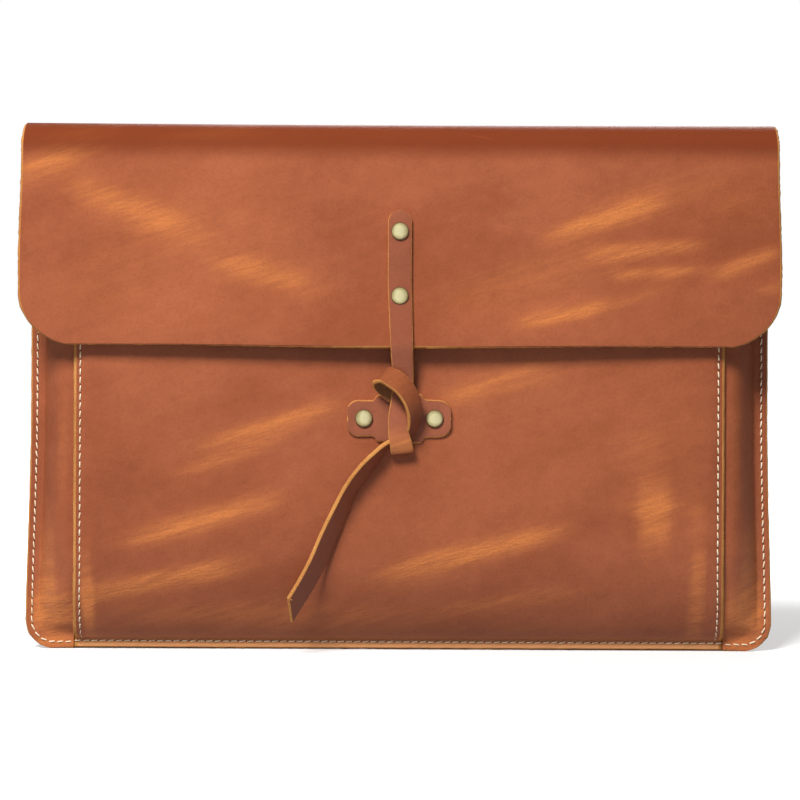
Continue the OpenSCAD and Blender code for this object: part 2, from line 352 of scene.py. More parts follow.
# %% [markdown]
# The cut edge and the flesh side have no wax on them: they are matt and fibrous, so both are one recipe
# of tufts in two tones. The cut edge is the pale orange line that outlines every piece.
# %% Raw edge and flesh side
def raw_leather(name, pale, deep, fibre):
    """Fibres of two tones, no gloss. Colour = deep to pale by tufts and patches; bump = tufts."""
    t = Tree(name, Specular_IOR_Level=0.2, Roughness=0.93)
    tuft = t.noise(fibre, 3, rough=0.7)
    patch = t.noise(60, 2)
    colour = t.mix((tuft * 0.8 + patch * 0.4 - 0.1).over(0.25, 0.75), deep, pale)
    return t.paint(Base_Color=colour, Normal=t.bump(tuft, 0.0004, 0.7))

cut_edge = raw_leather("cut_edge", (0.74, 0.34, 0.10), (0.40, 0.15, 0.04), 2000)
flesh_side = raw_leather("flesh_side", (0.30, 0.125, 0.052), (0.19, 0.075, 0.032), 900)
sheet_finish = [panel_leather, cut_edge, flesh_side]
strap_finish = [strap_leather, cut_edge, flesh_side]
print("raw sides:", cut_edge.name, flesh_side.name)

# %% [markdown]
# ## One builder for every piece of leather
# A cut piece of leather has a grain side, a flesh side and a cut edge that is worn a little round. A
# Solidify and a Bevel modifier could do it, but the edge would be the same all round and couldn't carry
# the values for wear and painted light. So one function takes the grain side as a grid of points, drops the
# flesh side behind it, and walks a rounded edge profile round the rim. These are its small helpers.
# %% Grid helpers
dice = np.random.default_rng(7)

def smooth(u):
    """An even step: 0 below 0, 1 above 1, and u squared x (3 - 2u) between."""
    u = np.clip(u, 0, 1)
    return u * u * (3 - 2 * u)

def dent(distance, width):
    """A round-bottomed groove: 1 in the middle, fading over width as e to the minus square."""
    return np.exp(-(distance / width) ** 2)

def unit(v):
    """Each vector divided by its length."""
    return v / np.maximum(np.linalg.norm(v, axis=-1, keepdims=True), 1e-12)

def spread(half, fine, band, coarse):
    """Places from -half to half, fine apart within band of each end and coarse apart between."""
    ends = np.linspace(0, band, round(band / fine) + 1)
    inner = np.linspace(-half + band, half - band, round(2 * (half - band) / coarse) + 1)
    return np.concatenate([-half + ends[:-1], inner, half - ends[-2::-1]])

def grid_normals(grid):
    """Cross product of the grid's two directions: rows run towards u, columns towards v."""
    return unit(np.cross(np.gradient(grid, axis=0), np.gradient(grid, axis=1)))

def rim_walk(nu, nv):
    """Grid indices once round the rim, anticlockwise seen from the grain side."""
    low = [(i, 0) for i in range(nu)]
    right = [(nu - 1, j) for j in range(1, nv)]
    high = [(i, nv - 1) for i in range(nu - 2, -1, -1)]
    left = [(0, j) for j in range(nv - 2, 0, -1)]
    return np.array(low + right + high + left)

print("a grid of 5 by 4 points has", len(rim_walk(5, 4)), "on its rim")

# %% [markdown]
# The rounded edge needs room. If only the rim moved inward it would fold over the rows next to it, so a
# whole band of grid lines is squeezed inward a little, less and less away from the edge.
# %% Make room for the rounded edge
def draw_in(grid, amount, band):
    """Grid lines along v pulled in from their start: a point at arc length s < band moves to
    amount + s (1 - amount / band), so that the whole side steps inward by amount without folding."""
    steps = np.linalg.norm(np.diff(grid, axis=1), axis=2)
    s = np.concatenate([np.zeros((len(grid), 1)), np.cumsum(steps, axis=1)], axis=1)
    wanted = np.where(s < band, amount + s * (1 - amount / band), s)
    k = np.sum(s[:, None, :] <= wanted[:, :, None], axis=2) - 1
    k = np.minimum(k, grid.shape[1] - 2)
    line = np.arange(len(grid))[:, None]
    share = (wanted - s[line, k]) / np.maximum(s[line, k + 1] - s[line, k], 1e-9)
    return grid[line, k] + share[..., None] * (grid[line, k + 1] - grid[line, k])

def inset(grid, widths, share):
    """The grid with each free side drawn in by its share of that side's rounding, over five times that.
    The grid is turned over or on its side so that each side in turn is the start of its lines."""
    for pair in (("low", "high"), ("left", "right")):
        for side in pair:
            if side in widths:
                grid = draw_in(grid, share * widths[side], 5 * share * widths[side])
            grid = grid[:, ::-1]
        grid = grid.transpose(1, 0, 2)
    return grid

ruler = np.stack(np.meshgrid([0.0, 1.0], np.arange(6.0), [0.0], indexing="ij"), -1)[:, :, 0]
print("a ruler drawn in by half a step:", draw_in(ruler, 0.5, 2.5)[0, :, 1])

# %% [markdown]
# Every piece below ends as arrays of points and faces. One helper makes the mesh from them, gives each
# face its material slot, and stores the values for wear and painted light on the points, where an Attribute
# node finds them.
# %% A mesh from arrays
def mesh_piece(name, points, faces, finish, slots, values=()):
    """A smooth mesh object at the origin, with a material slot per face and point attributes."""
    mesh = bpy.data.meshes.new(name)
    mesh.from_pydata(points, [], faces)
    for material in finish:
        mesh.materials.append(material)
    mesh.polygons.foreach_set("material_index", np.asarray(slots, dtype=np.int32))
    for key, value in dict(values).items():
        layer = mesh.attributes.new(key, "FLOAT", "POINT")
        layer.data.foreach_set("value", np.asarray(value, dtype=np.float32))
    mesh.polygons.foreach_set("use_smooth", np.ones(len(mesh.polygons), dtype=bool))
    mesh.update()
    piece = bpy.data.objects.new(name, mesh)
    scene.collection.objects.link(piece)
    return piece

# %% [markdown]
# The cut edge is four rings of points between the grain side's rim and the flesh side's, a little fuzzy
# as a knife leaves it. A side that carries on into another piece stays square.
# %% The cut edge
edge_profile = ((-0.52, 0.10), (-0.18, 0.32), (0.0, 0.62), (-0.04, 0.85))

def edge_rings(grain, normals, walk, widths, ragged):
    """Rings of points from the grain side's rim to the flesh side's. Each steps by edge_profile: the
    first number moves it across the rim, in that side's rounding, and the second into the thickness.
    A joined side has no rounding, and the rim's direction beside it is taken from the cut side alone."""
    (nu, nv), wi, wj = grain.shape[:2], walk[:, 0], walk[:, 1]
    points, facing = grain[wi, wj], normals[wi, wj]
    sides = {"low": wj == 0, "high": wj == nv - 1, "left": wi == 0, "right": wi == nu - 1}
    cut = np.any([sides[side] for side in widths], axis=0)
    reach = np.max([sides[side] * width for side, width in widths.items()], axis=0)[:, None]
    ahead, behind = np.roll(points, -1, axis=0), np.roll(points, 1, axis=0)
    ahead = np.where(np.roll(cut, -1)[:, None] | ~cut[:, None], ahead, points)
    behind = np.where(np.roll(cut, 1)[:, None] | ~cut[:, None], behind, points)
    across = unit(np.cross(unit(ahead - behind), facing))
    fuzz = ragged * cut[:, None] * dice.normal(0, 0.5, (len(walk), 1))
    return [points + across * (reach * a + fuzz) - facing * hide * b for a, b in edge_profile]

print("rings round a cut edge:", len(edge_profile))

# %% [markdown]
# The builder itself. Every cut piece goes through it, so they all share one thickness, one kind of edge
# and one set of values for the finishes to read. Sides and edge are joined into one closed mesh.
# %% The leather builder
wear_and_painted_light_values = ("pull", "rim", "dark", "chafed")

def leather_piece(name, grain, finish, round_edge=0.8 * MM, joined="", ragged=0.1 * MM, **values):
    """Closed piece of leather from the grid of its grain side.
    Flesh side = grain side - thickness x normal. round_edge is one rounding for all sides, or one for
    each side's name. Each further value is a grid, or what spreads to one, of one of the wear_and_painted_light_values."""
    nu, nv = grain.shape[:2]
    normals = grid_normals(grain)
    walk = rim_walk(nu, nv)
    free = [side for side in ("low", "high", "left", "right") if side != joined]
    given = round_edge if isinstance(round_edge, dict) else {"other": round_edge}
    widths = {side: given.get(side, given["other"]) for side in free}
    rings = edge_rings(grain, normals, walk, widths, ragged)
    skin = inset(grain, widths, 1.0)
    flesh = inset(grain - normals * hide, widths, 0.3)
    points = np.concatenate([skin.reshape(-1, 3), flesh.reshape(-1, 3)] + rings)
    index = np.arange(nu * nv).reshape(nu, nv)
    front = np.stack([index[:-1, :-1], index[1:, :-1], index[1:, 1:], index[:-1, 1:]], -1).reshape(-1, 4)
    back = front[:, ::-1] + nu * nv
    m, rim = len(walk), index[walk[:, 0], walk[:, 1]]
    loops = [rim] + [2 * nu * nv + k * m + np.arange(m) for k in range(len(rings))] + [rim + nu * nv]
    walls = [np.stack([a, b, np.roll(b, -1), np.roll(a, -1)], -1) for a, b in zip(loops[:-1], loops[1:])]
    slots = np.concatenate([np.zeros(len(front)), np.full(len(back), 2), np.ones(m * len(walls))])
    layers = {}
    for key in wear_and_painted_light_values:
        value = np.broadcast_to(values.get(key, 0.0), (nu, nv)).astype(float)
        layers[key] = np.concatenate([value.ravel()] * 2 + [value[walk[:, 0], walk[:, 1]]] * len(rings))
    return mesh_piece(name, points, np.concatenate([front, back] + walls), finish, slots, layers)

print("each piece carries:", wear_and_painted_light_values)

# %% [markdown]
# ## Where the hide was bent
# Pull-up marks are long lens shapes that rise to the right, as the hide was bent over one slanting
# line. Each is listed with its middle X and Z, half length, half width, slant and strength. The same list
# gives the colour value and a very shallow fold in the surface.
# %% Pull marks
flap_marks = (
    (90, 193, 28, 4.6, 17, 0.85), (109, 179.5, 27, 3.6, 6, 0.85), (113, 169.5, 21, 3.0, 5, 0.7),
    (153, 174, 18, 4.2, 20, 0.7), (69, 150.5, 19, 3.4, 12, 0.9), (100, 158, 24, 3.6, 15, 0.4),
    (166, 163, 9, 3, 8, 0.5), (-146, 222, 30, 6.5, 24, 0.8), (-82, 230, 26, 4.0, 8, 0.8),
    (-118, 197, 34, 7.0, -22, 0.55), (-58, 168, 26, 7.0, -14, 0.6), (-150, 230, 16, 4.0, 10, 0.6),
    (120, 205, 40, 10.0, 14, 0.3), (60, 170, 40, 9.0, 14, 0.25), (150, 200, 14, 4.0, 16, 0.3),
    (-95, 190, 50, 26.0, 0, 0.22), (40, 160, 60, 14.0, 8, 0.14), (-130, 160, 30, 16.0, 10, 0.18))
front_marks = (
    (-58, 101, 34, 4.0, 17, 0.9), (-76, 87, 26, 3.5, 18, 0.6), (-86, 60, 38, 5.0, 16, 1.0),
    (-104, 33, 40, 5.0, 12, 1.0), (44, 121, 28, 5.0, 16, 0.65), (34, 46, 42, 5.5, 15, 1.0),
    (113, 62, 8, 16.0, 0, 0.75), (114, 66, 22, 4.0, 0, 0.35), (50, 24, 36, 4.0, 8, 0.5),
    (133, 30, 4, 26.0, 0, 0.7), (-139, 24, 3.5, 22.0, 0, 0.8), (-60, 18, 70, 5.0, 0, 0.35),
    (0, 10, 150, 7.0, 0, 0.3), (80, 90, 50, 14.0, 14, 0.2), (60, 112, 60, 12.0, 14, 0.2),
    (118, 85, 20, 34.0, 0, 0.16), (-110, 110, 30, 18.0, 10, 0.14), (-30, 30, 60, 14.0, 10, 0.16))
back_marks = (
    (60, 150, 60, 9, 17, 0.5), (-70, 90, 70, 10, 15, 0.5), (90, 60, 40, 6, 16, 0.8),
    (-110, 180, 36, 6, 18, 0.7), (10, 200, 60, 7, 12, 0.4), (-20, 40, 60, 7, 14, 0.5))
print("marks on the flap, front and back:", len(flap_marks), len(front_marks), len(back_marks))

# %% [markdown]
# One mark's shape gives two things: how far the colour is pulled up there, and how the surface folds. Both
# are sums of smooth bells over the whole grid at once.
# %% Colour and fold of the marks
def mark_shape(x, z, mark):
    """Places along and across one mark, both 1 at its edge: X and Z turned by the slant, then divided
    by its half length and half width."""
    mx, mz, long, wide, slant, _ = mark
    a, b = x / MM - mx, z / MM - mz
    c, s = math.cos(math.radians(slant)), math.sin(math.radians(slant))
    return (a * c + b * s) / long, (b * c - a * s) / wide

def pulled(x, z, marks):
    """Sum of strength x e to the minus (along to the fourth + across squared), kept under 1."""
    total = 0
    for mark in marks:
        along, across = mark_shape(x, z, mark)
        total = total + mark[5] * np.exp(-along ** 4 - across ** 2)
    return np.minimum(total, 1)

def creases(x, z, marks):
    """Shallow folds: the same bells times across, so each mark lifts its upper edge and sinks its lower."""
    total = 0
    for mark in marks:
        along, across = mark_shape(x, z, mark)
        total = total + mark[5] * across * np.exp(-along ** 4 - 1.2 * across ** 2)
    return total * 0.55 * MM

print("pull in the middle of a mark: %.2f" % pulled(0.090, 0.193, flap_marks[:1]))

# %% [markdown]
# ## Side outline of the back hide
# The back panel is a little wider at the foot than higher up and has round bottom corners. Rows of the
# grid are set by the angle round the corner first, so that they crowd where the outline turns.
# %% Outline of the back hide
corner_r = 13 * MM
flare_h = 110 * MM
base_half = back_hi.x + 0.1 * MM
body_half = base_half - 2.2 * MM

def half_plain(z):
    """Half width of the back: body_half high up, growing to base_half over the last flare_h."""
    return body_half + (base_half - body_half) * (1 - smooth(z / flare_h))

def corner_rows(r, count):
    """Heights above the lowest edge at even angles round a corner of radius r."""
    return r * (1 - np.cos(np.linspace(0.06, 1, count) * math.pi / 2))

def half_round(z, z_low, r, half):
    """Half width at z: the side's own, less what the round corner takes away, by a circle's equation."""
    short = np.clip(r - (z - z_low), 0, r)
    return half - r + np.sqrt(np.maximum(r ** 2 - short ** 2, 0))

print("back: %.1f mm wide at the foot, %.1f mm above" % (2 * base_half / MM, 2 * body_half / MM))

# %% [markdown]
# ## Back hide and the rear half of the fold
# The back panel turns over the fold's axis on a radius of about 13 mm. The fold opens when the flap is
# lifted, so the hide is made in two pieces that meet at the top of the roll.
# %% Rows of the back hide
columns = spread(1, 0.0045, 0.05, 0.012)
arc = np.linspace(0, 1, 26)[1:] ** 0.8 * math.pi / 2
fold_half = fold_hi.x
stitch_in = 3.1 * MM
rim_fade = 4 * MM

def roll_sag(u):
    """The roll's top sinks a little towards its middle and lifts at its ends, with u squared."""
    return 0.35 * MM * (u ** 2 - 0.4)

def roll_painted_shade(z):
    """Painted shade over the roll's top band: 0 below it, 0.9 from a few millimetres into it."""
    return 0.9 * smooth((z - fold_z + 6 * MM) / (10 * MM))

rows_z = np.concatenate([corner_rows(corner_r, 9), np.linspace(corner_r, fold_z, 60)[1:]])
u, z = np.meshgrid(columns, rows_z, indexing="ij")
side = half_round(z, 0, corner_r, half_plain(z))
x = u * side
ripple = 0.14 * MM * np.sin(x / 0.047 + 1.3) * np.sin(z / 0.039) * smooth(z / 0.05)
seam = 0.25 * MM * dent(np.minimum(side - np.abs(x), z) - stitch_in, 0.8 * MM)
flat_part = place(x, seam + ripple, z)
u, a = np.meshgrid(columns, arc, indexing="ij")
reach = fold_reach + roll_sag(u)
half = half_plain(fold_z) + (fold_half - half_plain(fold_z)) * smooth(a)
rolled = place(u * half, fold_axis - reach * np.cos(a), fold_z + reach * np.sin(a))
print("flat part %d by %d points, roll %d by %d" % (*flat_part.shape[:2], *rolled.shape[:2]))

# %% [markdown]
# The flat rows and the rolled rows are one grid, so the hide has no seam where it starts to turn.
# %% Back hide
grain = np.concatenate([flat_part, rolled], axis=1)[::-1]
x, z = grain[..., 0], grain[..., 2]
# The dark value paints shade over the roll's top band.
back_hide = leather_piece(
    "back_hide", grain, sheet_finish, joined="high", dark=roll_painted_shade(z), pull=pulled(-x, z, back_marks),
    rim=np.clip(1 - np.minimum(half_plain(z) - np.abs(x), z) / rim_fade, 0, 1))
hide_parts("back_panel")
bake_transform(back_hide)
print("back hide:", len(back_hide.data.polygons), "faces")

# %% [markdown]
# ## Flap
# The flap starts at the top of the roll, comes round it and hangs. Its lower edge stands a few
# millimetres off the front panel, most in the middle where the strap pulls down less than the leather
# springs. The lower corners are cut round on a 25 mm radius.
# %% Rows of the flap
flap_r = 25 * MM
flap_z = flap_lo.z
flap_half = flap_hi.x
spring_z = 166 * MM

def flap_side(z):
    """Half width of the flap: it widens by an even step over the 50 mm below the fold."""
    return fold_half + (flap_half - fold_half) * smooth((fold_z - z) / 0.05)

def flap_stand(x, z):
    """How far the flap springs forward of its plane, all of it near the lower edge: a hump of
    (1 - across squared) to the power 1.2, less a fourth power at the corners, plus a slow wave."""
    low = smooth((spring_z - z) / 0.030)
    across = x / flap_half
    wave = 0.35 * MM * np.sin(5.2 * across + 0.6)
    return low * (2.8 * MM * (1 - across ** 2) ** 1.2 - 0.5 * MM * across ** 4 + wave)

rows_z = flap_z + np.concatenate([corner_rows(flap_r, 16), np.linspace(flap_r, fold_z - flap_z, 40)[1:]])
u, z = np.meshgrid(columns, rows_z, indexing="ij")
x = u * half_round(z, flap_z, flap_r, flap_side(z))
z_cut = z + 1.2 * MM * smooth(np.abs(x) / 0.11) * smooth((flap_z + flap_r - z) / flap_r)
hang = place(x, flap_face + flap_stand(x, z) + creases(x, z, flap_marks), z_cut)[:, ::-1]
u, a = np.meshgrid(columns, (math.pi / 2 - arc)[::-1], indexing="ij")
reach = fold_reach + roll_sag(u)
rolled = place(u * fold_half, fold_axis + reach * np.sin(a), fold_z + reach * np.cos(a))
rolled[..., 1] -= creases(rolled[..., 0], rolled[..., 2], flap_marks) * smooth(a)
print("the flap hangs %.0f mm below the fold's axis" % ((fold_z - flap_z) / MM))

# %% [markdown]
# The flap's grid starts on the roll, with its rows set by angle, and goes on down the hanging part. It
# stands for both the fold and the flap of the packed model, because the real hide has no joint there.
# %% Flap
grain = np.concatenate([rolled, hang], axis=1)[::-1]
x, z = grain[..., 0], grain[..., 2]
edge_gap = np.minimum(flap_side(z) - np.abs(x), z - flap_z)
# The dark value paints shade over the roll's top band here too.
flap_hide = leather_piece("flap_hide", grain, sheet_finish, 1.1 * MM, "low", 0.2 * MM, dark=roll_painted_shade(z),
                          pull=pulled(x, z, flap_marks), rim=np.clip(1 - edge_gap / rim_fade, 0, 1))
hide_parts("flap_fold", "flap_panel")
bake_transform(flap_hide)
print("flap:", len(flap_hide.data.polygons), "faces")

# %% [markdown]
# ## Front panel
# At the bottom the front panel lies flat on the back hide for the width of the seam. Above the seam it
# swells forward quickly, then runs up straight. The rise is a quarter sine raised to the power 0.6.
# Its side margins turn back a little towards the gussets, which shows their pale cut edge.
# %% Shape of the front panel
seam_h = 5 * MM
rise_h = 45 * MM
front_half = front_hi.x
swell = front_face - 2 * hide

def front_depth(z):
    """Depth of the front panel's outer face up its middle: two hides, then the swell."""
    return 2 * hide + swell * np.sin(math.pi / 2 * np.clip((z - seam_h) / rise_h, 0, 1)) ** 0.6

def front_side(z):
    """Half width of the front panel: the foot, being further back, is 1.8 mm wider."""
    return front_half + 0.8 * MM + 1.8 * MM * (1 - smooth(z / rise_h))

def margin_drop(x, z):
    """How far the side margin turns back: 1.5 mm x the square of the share of 9 mm that is left to the
    edge, and nothing in the flat bottom seam."""
    inward = front_side(z) - np.abs(x)
    lift = smooth((z - seam_h) / (12 * MM))
    return lift * (1.5 * MM * np.clip(1 - inward / (9 * MM), 0, 1) ** 2)

print("the front panel swells %.1f mm above its bottom seam" % (swell / MM))

# %% [markdown]
# Its rows crowd together where it swells, and a low belly and the pressed line under each row of
# stitches are added to the depth. The bottom margin is painted pale: partly painted light where the
# swell above keeps the lamps off it, and partly leather worn paler where the sleeve stands on it.
# %% Front panel
rise = seam_h + rise_h * np.linspace(0, 1, 30)[1:] ** 1.6
straight = np.linspace(seam_h + rise_h, front_hi.z, 62)[1:]
rows_z = np.concatenate([np.linspace(front_lo.z, seam_h, 8), rise, straight])
u, z = np.meshgrid(spread(1, 0.0052, 0.062, 0.0166), rows_z, indexing="ij")
x = u * front_side(z)
inward, upward = front_side(z) - np.abs(x), z - front_lo.z
belly = 1.1 * MM * smooth(z / 0.06) * (1 - smooth((z - 0.06) / 0.075)) * (1 - (x / front_half) ** 2)
seam_side = 0.35 * MM * dent(inward - stitch_in, 0.9 * MM)
seam_foot = 0.3 * MM * dent(upward - stitch_in, 0.9 * MM)
depth = front_depth(z) - margin_drop(x, z) + belly + creases(x, z, front_marks) - seam_side - seam_foot
# The pull bell at 1 mm up and the value on the last line paint the bottom margin pale: painted light where
# the swell keeps the lamps off, on leather also worn paler there.
front_hide = leather_piece(
    "front_hide", place(x, depth, z), sheet_finish, {"low": 0.5 * MM, "other": 1.9 * MM},
    pull=np.maximum(pulled(x, z, front_marks), dent(z - 1.0 * MM, 3 * MM)),
    chafed=0.75 * dent(z - 1.2 * MM, 3.2 * MM), rim=np.clip(1 - np.minimum(inward, upward) / (3 * MM), 0, 1))
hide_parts("front_panel")
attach(front_hide, "front")
print("front panel:", len(front_hide.data.polygons), "faces")

# %% [markdown]
# ## Gussets
# Each gusset is a narrow strip. Its outer margin lies flat on the back hide, its wall turns forward as
# a quarter ellipse, and its inner margin slips under the front panel's edge. Towards the foot the wall
# sinks to nothing and the spare leather puckers, which a few soft dents stand for.
# %% Shape of a gusset
front_lap = 6 * MM
wall_from, wall_to = 0.2, 0.8

def gusset_line(s, z):
    """X and depth of the gusset's middle at s from 0, the outer edge, to 1, the inner. X is straight in
    each of the three parts: margin, wall, lapped margin. Over the wall, with a from 0 to 1, the depth
    rises by wall x (1 - (1 - a) squared)."""
    out_x = half_round(z, 0, corner_r, half_plain(z))
    rise_z = smooth((z - 6 * MM) / (6 * MM))
    wall = rise_z * np.maximum(front_depth(z) - 3.1 * hide - margin_drop(front_side(z), z), 0)
    front_x = front_side(z) + 1.0 * MM
    seam_x = np.maximum(front_x + 3 * MM, np.minimum(half_plain(z) - 6.4 * MM, out_x - 0.8 * MM))
    end_x = front_side(z) + 0.1 * MM - front_lap * rise_z
    a = np.clip((s - wall_from) / (wall_to - wall_from), 0, 1)
    x = np.where(s < wall_from, out_x + (seam_x - out_x) * s / wall_from, seam_x + (front_x - seam_x) * a)
    x = np.where(s > wall_to, front_x + (end_x - front_x) * (s - wall_to) / (1 - wall_to), x)
    return x, 1.5 * hide + wall * (1 - (1 - a) ** 2)

def pucker(x, z, hand):
    """Dents near the foot where the spare leather gathers: a sine wave up the wall, fading by 62 mm up,
    less one round bowl in the corner. The wave is shifted by hand, so the two sides differ."""
    foot = 1 - smooth((z - 12 * MM) / (50 * MM))
    wave = np.sin(z / (5.5 * MM) + hand * 1.1 + x / (9 * MM)) * foot * smooth((z - 7 * MM) / (5 * MM))
    bowl = dent(x - 156 * MM, 6 * MM) * dent(z - 14 * MM, 6 * MM)
    return 0.5 * MM * wave - 0.9 * MM * bowl

gusset_rows = np.concatenate([corner_rows(corner_r, 12), np.linspace(corner_r, fold_z - 1 * MM, 80)[1:]])
print("a gusset has", len(gusset_rows), "rows")

# %% [markdown]
# Both gussets come from one function, with X mirrored by `hand`. A mirrored grid would face inward, so
# the right one's columns are turned round.
# %% Gussets
def gusset(name, hand):
    """One gusset: hand is 1 for the right side and -1 for the left."""
    s, z = np.meshgrid(np.linspace(0, 1, 44), gusset_rows, indexing="ij")
    x, depth = gusset_line(s, z)
    between = smooth((s - 0.15) / 0.2) * (1 - smooth((s - 0.75) / 0.12))
    seam = dent(np.minimum(half_plain(z) - x, z) - stitch_in, 0.9 * MM) * (s < 0.3)
    depth = depth + hide / 2 + pucker(x, z, hand) * between - 0.3 * MM * seam
    grain = place(hand * x, depth, z)
    if hand > 0:
        grain, s = grain[::-1], s[::-1]
    marks = ((hand * 156, 16, 13, 13, 0, 0.95), (hand * 158, 38, 5, 22, 0, 0.6),
             (hand * 150, 90, 3, 34, 0, 0.3), (hand * 155, 2, 14, 3, 0, 0.6))
    piece = leather_piece(name + "_hide", grain, sheet_finish, joined="left" if hand > 0 else "right",
                          pull=pulled(grain[..., 0], grain[..., 2], marks), rim=np.clip(1 - s * 12, 0, 1))
    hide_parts(name)
    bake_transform(piece)
    print(piece.name, len(piece.data.polygons), "faces")

gusset("gusset_left", -1)
gusset("gusset_right", 1)

# %% [markdown]
# ## Keeper tab
# The keeper is one small piece of strap leather, held by a rivet near each end, with a taller middle
# that the strap is knotted over. Its outline is a half height for each X, with round ends.
# %% Keeper tab
keeper_z = (keeper_lo.z + keeper_hi.z) / 2
keeper_half = keeper_hi.x
end_h, mid_h, mid_w, end_r = 16.6 * MM, 21.4 * MM, 10.6 * MM, 5.5 * MM

def keeper_half_height(x):
    """Half height of the tab: a circle's equation at the round ends, then an even step to the middle."""
    past = np.clip(np.abs(x) - (keeper_half - end_r), 0, end_r)
    end = end_h / 2 - end_r + np.sqrt(end_r ** 2 - past ** 2)
    return end + (mid_h - end_h) / 2 * (1 - smooth((np.abs(x) - mid_w + 1.2 * MM) / (2.4 * MM)))

x_ends = (keeper_half - end_r) + end_r * np.sin(np.linspace(0, 0.97, 10) * math.pi / 2)
x_middle = np.linspace(-keeper_half + end_r, keeper_half - end_r, 64)[1:-1]
x_line = np.concatenate([-x_ends[::-1], x_middle, x_ends])
x, v = np.meshgrid(x_line, spread(1, 0.09, 0.36, 0.14), indexing="ij")
z = keeper_z + v * keeper_half_height(x) + 0.25 * MM * np.sin(x / (6 * MM)) * v
pinch = 0.3 * MM * dent(np.hypot(np.abs(x) - 15.6 * MM, z - keeper_z) - 3 * MM, 2 * MM)
curl = 0.5 * MM * smooth((np.abs(x) - 19 * MM) / (4 * MM))
keeper = leather_piece("keeper", place(x, depth_of(keeper_lo.y) - pinch + curl, z), strap_finish,
                       round_edge=0.55 * MM, rim=smooth((np.abs(v) - 0.7) / 0.3))
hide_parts("keeper_tab")
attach(keeper, "front")
print("keeper tab:", len(keeper.data.polygons), "faces")

# %% [markdown]
# ## The strap and its knot
# A strap is easy to place from a list: a few points down its middle, the way its grain side faces at each,
# and its width. `ribbon` draws a smooth curve through them and gives `leather_piece` the grid. The long
# run passes down behind the knot. The loop folds over it from behind, crosses it and tucks in again, and
# the tail hangs out below, turned so that its cut edge faces forward.
# %% Ribbons
def smooth_line(rows, count):
    """Catmull-Rom curve through the rows, at even steps: a cubic in f between each two rows, whose
    slope at a row is half the way from the row before to the row after."""
    p = np.vstack([2 * rows[0] - rows[1], rows, 2 * rows[-1] - rows[-2]])
    t = np.linspace(0, len(rows) - 1 - 1e-9, count)
    k, f = t.astype(int), (t % 1)[:, None]
    a, b, c, d = p[k], p[k + 1], p[k + 2], p[k + 3]
    cubic = 2 * b + (c - a) * f + (2 * a - 5 * b + 4 * c - d) * f ** 2 + (3 * b - a - 3 * c + d) * f ** 3
    return 0.5 * cubic

def ribbon(name, stations, count, shade=((0,), (0,)), glow=((0,), (0,)), crown=0.25 * MM, slant=0.0):
    """Strap along stations of (x, depth, z, facing x, facing forward, facing up, width), in mm.
    Across the strap, v runs from -1 to 1 and the grain side bulges by crown x (1 - v squared).
    shade and glow are (shares of the length, values), for dark, which paints shade, and pull. slant skews
    the last end."""
    line = smooth_line(np.array(stations, float), count)
    centre = place(line[:, 0] * MM, line[:, 1] * MM, line[:, 2] * MM)
    along = unit(np.gradient(centre, axis=0))
    facing = line[:, 3:6] * np.array([1, -1, 1])
    facing = unit(facing - along * np.sum(facing * along, axis=1, keepdims=True))
    across = np.cross(along, facing)
    v = spread(1, 0.1, 0.3, 0.14)
    half = line[:, 6, None, None] * MM / 2
    skew = slant * smooth(np.linspace(-9, 1, count))[:, None] * v
    grid = centre[:, None] - along[:, None] * skew[..., None] + across[:, None] * v[None, :, None] * half
    grid = grid + facing[:, None] * (crown * (1 - v ** 2))[None, :, None]
    step = np.linalg.norm(np.gradient(grid[:, len(v) // 2], axis=0), axis=1)
    bend = np.linalg.norm(np.gradient(along, axis=0), axis=1) / step
    share = np.linspace(0, 1, count)
    pull = np.maximum(0.5 * smooth((bend * MM - 0.08) / 0.25), np.interp(share, *glow))
    return leather_piece(name, grid[:, ::-1], strap_finish, 0.5 * MM, "", 0.06 * MM, pull=pull[:, None],
                         rim=smooth((np.abs(v) - 0.75) / 0.25), dark=np.interp(share, *shade)[:, None])

print("a curve through 4 rows:", smooth_line(np.array([[0.0], [1.0], [3.0], [4.0]]), 5).ravel().round(2))

# %% [markdown]
# The run is riveted to the flap, follows the flap's spring, hangs past its lower edge, passes behind the
# knot and turns under it.
# %% Strap run
flat = (0, 1, 0)
top_z = strap_hi.z / MM
out = depth_of(strap_lo.y) / MM

def on_flap(x, z, width):
    """A station where the strap lies on the flap, moved forward with it."""
    return (x, out + float(flap_stand(0.0, z * MM)) / MM, z, *flat, width)

round_top = [(0, out, top_z - 5.4 * (1 - math.sin(k)), *flat, max(1.2, 10.9 * math.cos(k)))
             for k in np.linspace(math.pi / 2 - 0.12, 0, 7)]
past_edge = on_flap(1.0, 136, 10.2)
run = ribbon("strap_run", round_top + [
    on_flap(0, 186, 10.9), on_flap(0, 175, 10.9), on_flap(0, 166, 10.9),
    on_flap(0.2, 158, 10.8), on_flap(0.5, 150, 10.7), on_flap(0.8, 142.5, 10.5),
    (past_edge[0], past_edge[1] + 0.2, *past_edge[2:]), (1.3, out + 1.2, 129, *flat, 9.8),
    (1.6, out - 0.8, 121.5, *flat, 9.6), (0.9, out - 0.5, 113, 0.05, 1, 0, 9.4),
    (-0.4, out + 0.6, 105, -0.05, 1, 0, 9.3), (-0.1, out + 0.8, 98, 0, 1, 0.05, 9.6),
    (0.9, out + 0.4, 93.2, 0.12, 0.85, -0.5, 10.2), (1.5, out - 1.3, 89.9, 0.15, 0.2, -1, 10.4),
    (1.4, out - 3.3, 90.4, 0, -0.7, -0.8, 9.6), (1.0, out - 3.7, 95, 0, -1, 0, 9.0)], 160,
    glow=((0, 0.77, 0.84, 1), (0, 0, 0.8, 0.9)))
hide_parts("strap_upper", "strap_tie")
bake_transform(run)
print("strap run:", len(run.data.polygons), "faces")

